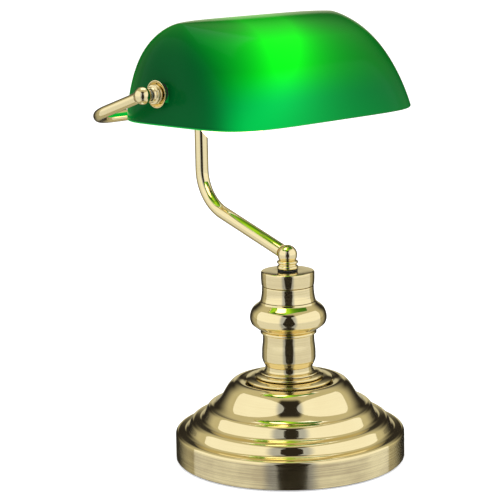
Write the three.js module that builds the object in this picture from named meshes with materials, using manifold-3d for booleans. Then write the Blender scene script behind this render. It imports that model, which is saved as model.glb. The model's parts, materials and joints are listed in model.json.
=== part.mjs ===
// Banker desk lamp: spun brass base and column, swivelling bent arm, and a green glass
// shade that tilts between the two ball ends of a bow. Millimetres, +Z up, the origin
// on the desk under the middle of the base, +Y towards the arm, +X along the shade.
import * as THREE from 'three';
import { mergeVertices } from 'three/addons/utils/BufferGeometryUtils.js';
import { ParametricGeometry } from 'three/addons/geometries/ParametricGeometry.js';
import Module from 'manifold-3d';

const wasm = await Module();
wasm.setup();

// ---- driving dimensions ----
const GAP = 0.3;                 // clearance that every pair of touching pieces keeps
const SHEET = 1.4;               // spun brass wall
const FELT_RADIUS = 91;
const FELT_TOP = 1.6;
const PLATE_RADIUS = 91.6;
const PLATE_TOP = 3.4;
const BASE_RADIUS = 94;
const RIM_BOTTOM = 0.8;
const RIM_TOP = 22.6;
const BASE_CROWN = 64;           // height of the base shell's flat crown
const CAP_TOP = 155.5;           // flat top of the column
const TUBE_RADIUS = 4.9;         // threaded tie tube
const TUBE_BORE = 3.2;
const CLEAR_BORE = TUBE_RADIUS + GAP;
const BALL = new THREE.Vector3(0, 0, 168.6);   // knuckle ball centre
const BALL_RADIUS = 8;
const ARM_RADIUS = 5.5;
const ARM_BORE = 4.5;
const ARM_RISE = THREE.MathUtils.degToRad(19.5);
const ARM_Y = 98;                // the upright part of the arm, and the bow's rear run
const ARM_BEND = 37;
const BOW_Z = 283;
const BOW_RADIUS = 4.5;
const BOW_BORE = 3.5;
const BOW_BEND = 30;
const BOW_X = 126.5;             // bow's ball ends
const BOW_BALL_RADIUS = 6.8;
const PIVOT_Y = 27.5;            // the shade's tilt axis, along X
const PIVOT_Z = 307;
const STUD_RADIUS = 4;
const STUD_BORE = 2.4;
const STUD_CLEAR = STUD_RADIUS + GAP;
const WIRE_RADIUS = 1.7;
const RIM_Z = 282;               // the shade's open rim
const RIDGE_Z = 360;
const SHADE_HALF_LENGTH = 110.5;
const SHADE_HALF_DEPTH = 74.5;
const SHADE_MIDDLE_Y = 15;
const RIDGE_BACK = 13;           // how far the ridge lies behind the rim's middle
const END_LEAN = 10;             // how far each end face leans in up to the ridge
const END_ROUNDING = 15;         // and how much more it rounds in at the very top
const GLASS = 4;
const HOLDER_Y = 18;             // bulb and lampholder axis, along X
const HOLDER_Z = 290;
const BULB_RADIUS = 30;
const BULB_X = -41.5;
const CAP_RADIUS = 13.2;         // bulb's screw cap
const HARP_X = 99;              // middle of the harp's end plates
const HARP_Y = 62;
const HARP_THICK = 2;
const HARP_HEIGHT = 12;

// How many flats a round piece has, by its size.
const ROUND = { base: 32, plate: 24, column: 18, fitting: 12, small: 10 };

// ---- materials ----
const finish = (color, roughness, metalness) =>
  () => new THREE.MeshStandardMaterial({ color, roughness, metalness });
const polishedBrass = finish('#d8c48c', 0.12, 1);
const satinBrass = finish('#c9b681', 0.3, 1);
const plainSteel = finish('#a9abad', 0.35, 1);
const castIron = finish('#3a3a3c', 0.8, 0.6);
const greenGlass = finish('#0d7a3a', 0.08, 0);
const opalGlass = finish('#fbf8ee', 0.2, 0);
const blackRubber = finish('#1c1c1c', 0.8, 0);
const blackFelt = finish('#20241f', 0.95, 0);
const whiteCeramic = finish('#ece8df', 0.4, 0);
const wireSheath = finish('#e6e2d6', 0.6, 0);

// ---- closed meshes ----
// Merges the seams, drops triangles without area and turns the faces outwards.
function closed(geometry) {
  const bare = geometry.clone();
  bare.deleteAttribute('normal');
  bare.deleteAttribute('uv');
  const merged = mergeVertices(bare, 1e-4);
  const points = merged.getAttribute('position');
  const at = (i) => new THREE.Vector3().fromBufferAttribute(points, i);
  const index = [];
  let volume = 0;
  for (let i = 0; i < merged.index.count; i += 3) {
    const [a, b, c] = [0, 1, 2].map((k) => merged.index.getX(i + k));
    if (a === b || b === c || c === a) continue;
    index.push(a, b, c);
    volume += at(a).dot(at(b).cross(at(c)));
  }
  if (volume < 0) index.reverse();
  merged.setIndex(index);
  return merged;
}

function toManifold(geometry) {
  const mesh = closed(geometry);
  return new wasm.Manifold(new wasm.Mesh({
    numProp: 3,
    vertProperties: new Float32Array(mesh.getAttribute('position').array),
    triVerts: new Uint32Array(mesh.index.array),
  }));
}

function fromManifold(manifold) {
  const mesh = manifold.getMesh();
  const geometry = new THREE.BufferGeometry();
  geometry.setAttribute('position', new THREE.BufferAttribute(mesh.vertProperties, 3));
  geometry.setIndex(new THREE.BufferAttribute(mesh.triVerts, 1));
  return geometry;
}

const cut = (body, ...tools) => fromManifold(
  tools.reduce((rest, tool) => rest.subtract(toManifold(tool)), toManifold(body)));
const join = (body, ...others) => fromManifold(
  others.reduce((sum, other) => sum.add(toManifold(other)), toManifold(body)));

// ---- basic shapes ----
// A turned piece: the closed outline is [radius, height] pairs; its axis is +Z.
function turned(outline, segments = ROUND.column) {
  const points = outline.map(([r, h]) => new THREE.Vector2(Math.max(r, 0), h));
  const first = outline[0];
  const last = outline[outline.length - 1];
  if (first[0] > 0 || last[0] > 0) points.push(points[0].clone());
  return closed(new THREE.LatheGeometry(points, segments).rotateX(Math.PI / 2));
}

// The same piece with its axis along +X, and along +Y.
const turnedAlongX = (outline, segments) => turned(outline, segments).rotateY(Math.PI / 2);
const turnedAlongY = (outline, segments) => turned(outline, segments).rotateX(-Math.PI / 2);

const ring = (inner, outer, low, high, segments) =>
  turned([[inner, low], [outer, low], [outer, high], [inner, high]], segments);
const ringAlongX = (inner, outer, low, high, segments) =>
  ring(inner, outer, low, high, segments).rotateY(Math.PI / 2);

// A rod between two points.
function rod(from, to, radius, segments = ROUND.fitting) {
  const length = from.distanceTo(to);
  const shape = new THREE.CylinderGeometry(radius, radius, length, segments);
  const turn = new THREE.Quaternion().setFromUnitVectors(
    new THREE.Vector3(0, 1, 0), to.clone().sub(from).normalize());
  const middle = from.clone().add(to).multiplyScalar(0.5);
  return shape.applyQuaternion(turn).translate(middle.x, middle.y, middle.z);
}

function box(sizeX, sizeY, sizeZ, x, y, z) {
  return new THREE.BoxGeometry(sizeX, sizeY, sizeZ).translate(x, y, z);
}

// A hexagonal nut on the +Z axis.
function nut(acrossFlats, bore, low, high) {
  const radius = acrossFlats / Math.sqrt(3);
  const body = new THREE.CylinderGeometry(radius, radius, high - low, 6).rotateX(Math.PI / 2);
  const hole = new THREE.CylinderGeometry(bore, bore, 2 * (high - low), ROUND.small)
    .rotateX(Math.PI / 2);
  return cut(body, hole).translate(0, 0, (low + high) / 2);
}

// Points on a round corner, as [radius, height] pairs.
function corner(centreR, centreH, radius, fromDegrees, toDegrees, steps) {
  return Array.from({ length: steps + 1 }, (_, i) => {
    const angle = THREE.MathUtils.degToRad(fromDegrees + (toDegrees - fromDegrees) * i / steps);
    return [centreR + radius * Math.cos(angle), centreH + radius * Math.sin(angle)];
  });
}

// A bowed stretch between two [radius, height] points, standing proud by its rise.
function bowed(from, to, rise, steps) {
  const [dr, dh] = [to[0] - from[0], to[1] - from[1]];
  const length = Math.hypot(dr, dh);
  return Array.from({ length: steps }, (_, i) => {
    const s = i / steps;
    const lift = 4 * rise * s * (1 - s);
    return [from[0] + s * dr + lift * dh / length, from[1] + s * dh - lift * dr / length];
  });
}

// The inner side of a sheet outline, at the sheet's thickness.
function insideOf(outline, thickness) {
  return outline.map((point, i) => {
    const before = outline[Math.max(i - 1, 0)];
    const after = outline[Math.min(i + 1, outline.length - 1)];
    const [dr, dh] = [after[0] - before[0], after[1] - before[1]];
    const length = Math.hypot(dr, dh);
    return [point[0] - thickness * dh / length, point[1] + thickness * dr / length];
  });
}

// A path of straight runs joined by round bends, with stations only where it needs them.
class BentPath extends THREE.Curve {
  constructor(corners, bend, bendSteps = 6) {
    super();
    this.stations = [corners[0].clone()];
    for (let i = 1; i < corners.length - 1; i += 1) {
      const back = corners[i - 1].clone().sub(corners[i]).normalize();
      const on = corners[i + 1].clone().sub(corners[i]).normalize();
      const radius = Array.isArray(bend) ? bend[i - 1] : bend;
      const half = back.angleTo(on) / 2;
      const reach = radius / Math.tan(half);
      const middle = corners[i].clone().add(
        back.clone().add(on).normalize().multiplyScalar(radius / Math.sin(half)));
      const start = corners[i].clone().add(back.clone().multiplyScalar(reach)).sub(middle);
      const axis = back.clone().cross(on).normalize();
      for (let k = 0; k <= bendSteps; k += 1) {
        const angle = -(Math.PI - 2 * half) * k / bendSteps;
        this.stations.push(start.clone().applyAxisAngle(axis, angle).add(middle));
      }
    }
    this.stations.push(corners[corners.length - 1].clone());
  }

  get steps() {
    return this.stations.length - 1;
  }

  getPointAt(u) {
    const at = Math.min(Math.max(u, 0), 1) * this.steps;
    const low = Math.min(Math.floor(at), this.steps - 1);
    return this.stations[low].clone().lerp(this.stations[low + 1], at - low);
  }

  getPoint(t) {
    return this.getPointAt(t);
  }

  getTangentAt(u) {
    const at = Math.round(Math.min(Math.max(u, 0), 1) * this.steps);
    const onto = (a, b) => this.stations[b].clone().sub(this.stations[a]).normalize();
    if (at === 0) return onto(0, 1);
    if (at === this.steps) return onto(at - 1, at);
    return onto(at - 1, at).add(onto(at, at + 1)).normalize();
  }
}

// A round tube or wire along a path; a bore makes it hollow.
function tubeAlong(path, radius, bore, sides = 8) {
  const section = (r) => Array.from({ length: sides }, (_, i) => new THREE.Vector2(
    r * Math.cos(2 * Math.PI * i / sides), r * Math.sin(2 * Math.PI * i / sides)));
  const shape = new THREE.Shape(section(radius));
  if (bore) shape.holes.push(new THREE.Path(section(bore)));
  return closed(new THREE.ExtrudeGeometry(
    shape, { steps: path.steps, extrudePath: path, bevelEnabled: false }));
}

// ---- the lamp ----
const lamp = new THREE.Group();

function add(name, geometry, material, parent = lamp) {
  const mesh = new THREE.Mesh(geometry, material());
  mesh.name = name;
  parent.add(mesh);
  return mesh;
}

const spot = (x, y, z) => new THREE.Vector3(x, y, z);

// ---- base: felt, plate, weight and spun shell ----
function addBase() {
  add('felt_pad', turned([
    [0, 0], [FELT_RADIUS, 0], [FELT_RADIUS, FELT_TOP], [0, FELT_TOP]], ROUND.plate), blackFelt);

  // The plate is dished up in the middle, so that the lower nut lies in the dish.
  const plateLow = FELT_TOP + GAP;
  const plateThick = PLATE_TOP - plateLow;
  const dishRadius = 13;
  const dishTop = 9;
  add('bottom_plate', turned([
    [dishRadius, plateLow], [PLATE_RADIUS, plateLow], [PLATE_RADIUS, PLATE_TOP],
    [dishRadius + 2, PLATE_TOP], [dishRadius + plateThick, dishTop],
    [CLEAR_BORE, dishTop], [CLEAR_BORE, dishTop - plateThick], [dishRadius, dishTop - plateThick]],
  ROUND.plate), plainSteel);
  const weightLow = PLATE_TOP + GAP;
  const weightHigh = 17;
  const pocket = dishRadius + 3;
  add('base_weight', turned([
    [pocket, weightLow], [84, weightLow], [86, weightLow + 2], [86, 13], [82, weightHigh],
    [CLEAR_BORE, weightHigh], [CLEAR_BORE, dishTop + GAP], [pocket, dishTop + GAP]],
  ROUND.plate), castIron);

  // The skirt, two stepped rings, the high dome and the flat crown of the spun shell.
  const crease = [[88.5, 24], [77.6, 33.3], [63.5, 44.1]];
  const dome = new THREE.CubicBezierCurve(
    new THREE.Vector2(...crease[2]), new THREE.Vector2(51.7, 48),
    new THREE.Vector2(53, 69.4), new THREE.Vector2(37, BASE_CROWN));
  const skin = [
    [BASE_RADIUS, RIM_BOTTOM], [BASE_RADIUS, RIM_TOP - 1.8],
    ...corner(BASE_RADIUS - 1.8, RIM_TOP - 1.6, 1.8, 25, 90, 2),
    ...bowed(crease[0], crease[1], 1.6, 3),
    ...bowed(crease[1], crease[2], 1, 3),
    ...dome.getPoints(7).map((p) => [p.x, p.y]),
    [CLEAR_BORE, BASE_CROWN]];
  const inner = [
    [BASE_RADIUS - SHEET, RIM_BOTTOM], ...insideOf([
      [BASE_RADIUS, RIM_TOP - 1.8], [BASE_RADIUS - 3, RIM_TOP], ...crease.slice(0, 2),
      ...dome.getPoints(4).map((p) => [p.x, p.y])], SHEET + 0.2).slice(1),
    [CLEAR_BORE, BASE_CROWN - SHEET]];
  const shell = turned([...skin, ...inner.reverse()], ROUND.base);
  const glandZ = 11;
  const glandRadius = 5;
  const glandHole = rod(spot(0, 80, glandZ), spot(0, 100, glandZ), glandRadius + GAP);
  add('base_shell', cut(shell, glandHole), polishedBrass);
  const gland = turnedAlongY([
    [3.3, 87.5], [glandRadius, 87.5], [glandRadius, 94.3], [7, 94.3], [7, 95.3], [5.6, 96.6],
    [3.3, 96.6]], ROUND.fitting);
  add('cord_gland', gland.translate(0, 0, glandZ), blackRubber);

  const block = box(24, 18, 9, 0, 46, weightHigh + GAP + 4.5);
  const blockBores = [-6, 6].map((x) =>
    rod(spot(x, 30, weightHigh + GAP + 4.5), spot(x, 60, weightHigh + GAP + 4.5), 1.9, 10));
  add('terminal_block', cut(block, ...blockBores), whiteCeramic);
}

// ---- column: tie tube, its nuts, and the turned pieces stacked on it ----
function addColumn() {
  const tubeTop = 161;
  const slot = box(4.8, 12, 16, 0, 6, 37);
  add('tie_tube', cut(ring(TUBE_BORE, TUBE_RADIUS, 2.4, tubeTop, ROUND.fitting), slot), plainSteel);
  add('weight_nut_lower', nut(17, CLEAR_BORE, 2.7, 7.2), plainSteel);
  add('weight_nut_upper', nut(17, CLEAR_BORE, 17.3, 22.3), plainSteel);
  add('shell_washer', ring(CLEAR_BORE, 13, 60.8, 62.3, ROUND.fitting), plainSteel);
  add('shell_nut', nut(17, CLEAR_BORE, 55.2, 60.5), plainSteel);

  // Each piece is a shell; its bore clears the tie tube at the seats only.
  const seat = CLEAR_BORE;
  add('foot_ring_wide', turned([
    [seat, 64.3], [34, 64.3], ...corner(34.2, 65.7, 1.2, -70, 90, 3), [31, 67.2],
    [29, 67.5], [seat, 67.5]], ROUND.column), polishedBrass);
  add('foot_ring_narrow', turned([
    [seat, 67.8], [26.6, 67.8], ...corner(26.8, 69.2, 1.2, -70, 90, 3), [24.5, 70.9],
    [seat, 70.9]], ROUND.column), polishedBrass);
  const flare = new THREE.QuadraticBezierCurve(
    new THREE.Vector2(24, 71.4), new THREE.Vector2(19.6, 73), new THREE.Vector2(19.2, 77));
  add('column_foot', turned([
    [seat, 71.2], [24, 71.2], ...flare.getPoints(4).map((p) => [p.x, p.y]), [seat, 77]],
  ROUND.column), polishedBrass);
  add('lower_sleeve', turned([
    [14, 77.3], [19.6, 77.3], [20.3, 79], [21.4, 81], [21.9, 84], [21.7, 91], [21.1, 97],
    [21, 103.5], [14, 103.5], [14, 101.5], [19, 101], [19.4, 84], [18, 79.6], [14, 79.3]],
  ROUND.column), satinBrass);
  add('flange_ring', turned([
    [14, 103.8], [22, 103.8], ...corner(22, 104.9, 0.9, -60, 90, 2), [21.4, 106.9],
    [14, 106.9]], ROUND.column), polishedBrass);
  const belly = new THREE.CubicBezierCurve(
    new THREE.Vector2(30.2, 112.6), new THREE.Vector2(32.6, 116), new THREE.Vector2(31, 124),
    new THREE.Vector2(23.4, 129.4));
  add('column_bulge', turned([
    [14, 107.2], [22.8, 107.2], [24.6, 108.4], ...belly.getPoints(5).map((p) => [p.x, p.y]),
    [22.7, 130.8], [14, 130.8], [14, 128.4], [20.5, 127.9], [27.6, 121], [28.4, 115.4],
    [22.6, 109.6], [14, 109.4]], ROUND.column), polishedBrass);
  add('upper_sleeve', turned([
    [14, 131.1], [22.5, 131.1], [21.8, 134], [21.2, 138], [21.1, 143.4], [14, 143.4],
    [14, 141.6], [19, 141.4], [19.8, 133], [14, 132.8]], ROUND.column), satinBrass);
  add('column_cap', turned([
    [14, 143.7], [21.4, 143.7], [21.8, 150], ...corner(20.3, CAP_TOP - 1.5, 1.5, 0, 90, 3),
    [seat, CAP_TOP], [seat, CAP_TOP - 2.4], [19.2, CAP_TOP - 2.6], [19.2, 146],
    [14, 145.8]], ROUND.column), satinBrass);

  const supplyWire = new BentPath([
    spot(0, 36.7, 21.8), spot(0, 24, 21.8), spot(0, 14, 31), spot(0, 0, 31), spot(0, 0, 159)],
  [8, 8, 12], 4);
  add('supply_wire', tubeAlong(supplyWire, WIRE_RADIUS, 0, 6), wireSheath);
}

// ---- arm: turned neck, knuckle ball, bent tube and tee ----
const armAlong = spot(0, Math.cos(ARM_RISE), Math.sin(ARM_RISE));
const alongArm = (s) => BALL.clone().add(armAlong.clone().multiplyScalar(s));

function addArm() {
  add('swivel_washer', ring(CLEAR_BORE, 8.4, 155.8, 156.6, ROUND.fitting), blackRubber);
  add('turned_neck', turned([
    [CLEAR_BORE, 156.9], [7.6, 156.9], ...corner(7.4, 158.4, 1.1, -60, 80, 3), [7.4, 160.2],
    [7.2, 161.2], ...corner(7.4, 162.6, 1.1, -60, 80, 3), [6.9, 163.8], [6.9, 164.4],
    [3.4, 164.4], [3.4, 162], [CLEAR_BORE, 161.6]], ROUND.fitting), polishedBrass);

  const ballLow = 164.7;
  const ball = new THREE.SphereGeometry(BALL_RADIUS, ROUND.column, 12).rotateX(Math.PI / 2)
    .translate(BALL.x, BALL.y, BALL.z);
  const foot = box(30, 30, 20, 0, 0, ballLow - 10);
  const passage = 3.4;
  const tubeStart = 4.5;
  add('knuckle_ball', cut(ball, foot,
    rod(spot(0, 0, 155), spot(0, 0, BALL.z + 0.6), passage),
    rod(alongArm(-0.6), alongArm(6), passage),
    rod(alongArm(tubeStart - GAP), alongArm(14), ARM_RADIUS + GAP)), polishedBrass);

  const armCorner = alongArm(ARM_Y / Math.cos(ARM_RISE));
  const stubLow = 275.5;
  const armTop = 278;
  add('arm_tube', tubeAlong(
    new BentPath([alongArm(tubeStart), armCorner, spot(0, ARM_Y, armTop)], ARM_BEND, 8),
    ARM_RADIUS, ARM_BORE), polishedBrass);

  const teeRadius = 7;
  const teeHalf = 12;
  const sleeve = rod(spot(-teeHalf, ARM_Y, BOW_Z), spot(teeHalf, ARM_Y, BOW_Z), teeRadius);
  const stub = rod(spot(0, ARM_Y, stubLow), spot(0, ARM_Y, BOW_Z), teeRadius);
  const screwX = -7;
  const screwRadius = 1.7;
  add('bow_tee', cut(join(sleeve, stub),
    rod(spot(-20, ARM_Y, BOW_Z), spot(20, ARM_Y, BOW_Z), BOW_RADIUS + GAP),
    rod(spot(0, ARM_Y, stubLow - 1), spot(0, ARM_Y, armTop + GAP), ARM_RADIUS + GAP),
    rod(spot(0, ARM_Y, armTop), spot(0, ARM_Y, BOW_Z), passage),
    rod(spot(screwX, ARM_Y, BOW_Z), spot(screwX, ARM_Y + 10, BOW_Z), screwRadius + GAP)),
  polishedBrass);
  const screw = turnedAlongY([
    [0, BOW_RADIUS + GAP], [screwRadius, BOW_RADIUS + GAP], [screwRadius, 7.4], [3.2, 7.4],
    [3.2, 8.8], [2.4, 9.4], [0, 9.6]], ROUND.small);
  add('tee_screw', screw.translate(screwX, ARM_Y, BOW_Z), plainSteel);
}

// ---- bow: tube, ball ends, pivot studs and their turned collars ----
const bowAlong = spot(0, ARM_Y - PIVOT_Y, BOW_Z - PIVOT_Z).normalize();

function addBow() {
  const tubeStart = 2.7;
  const end = (side) => spot(side * BOW_X, PIVOT_Y, PIVOT_Z);
  const alongBow = (side, s) => end(side).add(bowAlong.clone().multiplyScalar(s));
  const bend = (side) => spot(side * BOW_X, ARM_Y, BOW_Z);
  const bowPath = new BentPath(
    [alongBow(-1, tubeStart), bend(-1), bend(1), alongBow(1, tubeStart)], BOW_BEND, 7);
  add('bow_tube', cut(tubeAlong(bowPath, BOW_RADIUS, BOW_BORE),
    rod(spot(0, ARM_Y, BOW_Z - 8), spot(0, ARM_Y, BOW_Z), 2.6, 10)), polishedBrass);

  const studOuter = 121.6;
  const studInner = 90;
  const wireBend = 4;
  for (const [name, side] of [['left', -1], ['right', 1]]) {
    const ball = new THREE.SphereGeometry(BOW_BALL_RADIUS, ROUND.fitting, 10).rotateZ(Math.PI / 2)
      .translate(side * BOW_X, PIVOT_Y, PIVOT_Z);
    const hollow = new THREE.SphereGeometry(4, 8, 6)
      .translate(side * BOW_X, PIVOT_Y, PIVOT_Z);
    add(`bow_ball_${name}`, cut(ball, hollow,
      rod(alongBow(side, tubeStart - GAP), alongBow(side, 12), BOW_RADIUS + GAP),
      rod(spot(side * (BOW_X - 2), PIVOT_Y, PIVOT_Z), spot(side * 115, PIVOT_Y, PIVOT_Z),
        STUD_CLEAR)), polishedBrass);

    const onPivot = new THREE.Group();
    onPivot.position.set(0, PIVOT_Y, PIVOT_Z);
    onPivot.rotation.z = side > 0 ? 0 : Math.PI;
    lamp.add(onPivot);
    add(`pivot_stud_${name}`, ringAlongX(STUD_BORE, STUD_RADIUS, studInner, studOuter, ROUND.small),
      plainSteel, onPivot);
    add(`ridged_collar_${name}`, turnedAlongX([
      [STUD_CLEAR, 111.6], [6.2, 111.6], [6.2, 112.4], ...corner(6.3, 113.6, 1.1, -90, 90, 3),
      [6, 114.9], ...corner(6.3, 116.1, 1.1, -90, 90, 3), [5.8, 117.5], [5.4, 119.2],
      [STUD_CLEAR, 119.2]], ROUND.fitting), polishedBrass, onPivot);
    add(`spring_washer_${name}`, ringAlongX(STUD_CLEAR, 7.6, 96.5, 97.7, ROUND.fitting),
      plainSteel, onPivot);
    add(`stud_nut_${name}`, nut(13, STUD_CLEAR, 91.7, 96.2).rotateY(Math.PI / 2),
      plainSteel, onPivot);
  }
  const armWire = new BentPath([
    spot(0, 0, 159 + GAP), BALL.clone(), alongArm(ARM_Y / Math.cos(ARM_RISE)),
    spot(0, ARM_Y, BOW_Z), bend(1), end(1), spot(94, PIVOT_Y, PIVOT_Z)],
  [5, ARM_BEND, 5, BOW_BEND, wireBend], 5);
  add('arm_wire', tubeAlong(armWire, WIRE_RADIUS, 0, 6), wireSheath);
}

// ---- shade: one glass pressing, open below ----
// Half length, half depth, middle and corner squareness of the shade at a height.
function shadePlan(height) {
  const t = Math.min(Math.max((height - RIM_Z) / (RIDGE_Z - RIM_Z), 0), 1);
  return {
    halfLength: SHADE_HALF_LENGTH - END_LEAN * t - END_ROUNDING * t ** 6,
    halfDepth: SHADE_HALF_DEPTH * (1 - t ** 2) ** (1 / 2.3),
    middle: SHADE_MIDDLE_Y + RIDGE_BACK * t,
    square: 5 - 2 * t,
  };
}

function shadePoint(height, turn, inset, target) {
  const plan = shadePlan(height + inset);
  const [c, s] = [Math.cos(turn), Math.sin(turn)];
  const reach = (value) => Math.sign(value) * Math.abs(value) ** (2 / plan.square);
  const depth = Math.max(plan.halfDepth - inset, 0);
  return target.set(
    (plan.halfLength - inset) * reach(c), plan.middle + depth * reach(s), height);
}

// The glass before its pivot holes are drilled. u runs inside from the ridge down to the
// rim, then outside back up to the ridge; v runs round.
function shadeShell() {
  const rows = 8;
  const columns = 40;
  return closed(new ParametricGeometry((u, v, target) => {
    const row = Math.round(u * (2 * rows + 1));
    const inside = row <= rows;
    const rise = inside ? rows - row : row - rows - 1;
    const top = inside ? RIDGE_Z - GLASS : RIDGE_Z;
    const height = RIM_Z + (top - RIM_Z) * Math.sin(rise / rows * Math.PI / 2);
    const column = Math.round(v * columns) % columns;
    shadePoint(height, 2 * Math.PI * column / columns, inside ? GLASS : 0, target);
    if (rise === rows) target.y = SHADE_MIDDLE_Y + RIDGE_BACK;
  }, 2 * rows + 1, columns));
}

function addShade() {
  const hole = rod(spot(-150, PIVOT_Y, PIVOT_Z), spot(150, PIVOT_Y, PIVOT_Z), 6.5, ROUND.fitting);
  add('glass_shade', cut(shadeShell(), hole), greenGlass);
}

// ---- pivot cups, gaskets and the harp that carries the lampholder ----
function addShadeFittings() {
  const wallFace = shadePlan(PIVOT_Z).halfLength;
  const padRadius = 8;
  for (const [name, side] of [['left', -1], ['right', 1]]) {
    const turnedRound = side > 0 ? 0 : Math.PI;
    const onPivot = new THREE.Group();
    onPivot.position.set(0, PIVOT_Y, PIVOT_Z);
    onPivot.rotation.z = turnedRound;
    lamp.add(onPivot);
    add(`pivot_cup_${name}`, turnedAlongX([
      [STUD_CLEAR, 109.8], [7.6, 109.8], [9.2, 110.6], [10.3, 112], [10.6, 113], [9.9, 113.2],
      [9.2, 112], [8, 111], [STUD_CLEAR, 110.9]], ROUND.column), polishedBrass, onPivot);
    // Each pad is moulded to the leaning glass, so the glass moved by a gap shapes it.
    const glass = (away) => shadeShell().translate(0, -PIVOT_Y, -PIVOT_Z)
      .rotateZ(turnedRound).translate(away, 0, 0);
    const outerPad = ringAlongX(STUD_CLEAR, padRadius, wallFace - 3, 109.5, ROUND.fitting);
    add(`outer_gasket_${name}`, cut(outerPad, glass(GAP)), blackRubber, onPivot);
    const innerPad = ringAlongX(
      STUD_CLEAR, padRadius, HARP_X + HARP_THICK / 2 + GAP, wallFace - 2.5, ROUND.fitting);
    add(`inner_gasket_${name}`, cut(innerPad, glass(-GAP)), blackRubber, onPivot);
  }

  const harpPath = new BentPath([
    spot(-HARP_X, PIVOT_Y - 9, PIVOT_Z), spot(-HARP_X, HARP_Y, PIVOT_Z),
    spot(HARP_X, HARP_Y, PIVOT_Z), spot(HARP_X, PIVOT_Y - 9, PIVOT_Z)], 24, 6);
  const half = [HARP_THICK / 2, HARP_HEIGHT / 2];
  const section = (w, h) => new THREE.Shape([
    new THREE.Vector2(-w, -h), new THREE.Vector2(w, -h), new THREE.Vector2(w, h),
    new THREE.Vector2(-w, h)]);
  const flat = (w, h) => closed(new THREE.ExtrudeGeometry(
    section(w, h), { steps: harpPath.steps, extrudePath: harpPath, bevelEnabled: false }));
  const upright = (geometry) => {
    geometry.computeBoundingBox();
    const { min, max } = geometry.boundingBox;
    return max.z - min.z > HARP_HEIGHT / 2;
  };
  const onEdge = flat(half[0], half[1]);
  const strap = upright(onEdge) ? onEdge : flat(half[1], half[0]);
  const bracketX = 58;
  const screwY = [54, 68];
  const screwHole = rod(spot(bracketX, screwY[0], PIVOT_Z), spot(bracketX, screwY[1], PIVOT_Z),
    2 + GAP, ROUND.small);
  const studHole = rod(spot(-120, PIVOT_Y, PIVOT_Z), spot(120, PIVOT_Y, PIVOT_Z), STUD_CLEAR);
  add('shade_harp', cut(strap, studHole, screwHole), plainSteel);

  // The bracket: a plate across the lampholder's back, with a tab screwed to the harp.
  const plateX = 50.3;
  const plateThick = 2;
  const nippleHole = CLEAR_BORE;
  const outline = new THREE.Shape();
  outline.absarc(HOLDER_Y, HOLDER_Z, 10, Math.PI * 0.62, Math.PI * 1.62, false);
  outline.lineTo(HARP_Y - 1.3, PIVOT_Z - 6);
  outline.lineTo(HARP_Y - 1.3, PIVOT_Z + 6);
  outline.lineTo(HARP_Y - 9, PIVOT_Z + 6);
  outline.closePath();
  // The outline is drawn in (Y, Z) and stands across X.
  const toYZ = new THREE.Matrix4().makeBasis(spot(0, 1, 0), spot(0, 0, 1), spot(1, 0, 0));
  const plate = new THREE.ExtrudeGeometry(
    outline, { depth: plateThick, bevelEnabled: false, curveSegments: 8 })
    .applyMatrix4(toYZ).translate(plateX, 0, 0);
  const tabEnd = 65;
  const tab = box(tabEnd - plateX, 2, HARP_HEIGHT, (plateX + tabEnd) / 2, HARP_Y - 2.3, PIVOT_Z);
  const nippleDrill = rod(spot(40, HOLDER_Y, HOLDER_Z), spot(70, HOLDER_Y, HOLDER_Z),
    nippleHole);
  add('holder_bracket', cut(join(plate, tab), nippleDrill, screwHole), plainSteel);
  const screw = turnedAlongY([
    [0, 55.6], [3, 56], [3.6, 57.2], [3.6, 58.4], [2, 58.4], [2, 64.4], [0, 64.8]], ROUND.small);
  add('bracket_screw', screw.translate(bracketX, 0, PIVOT_Z), plainSteel);
}

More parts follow.
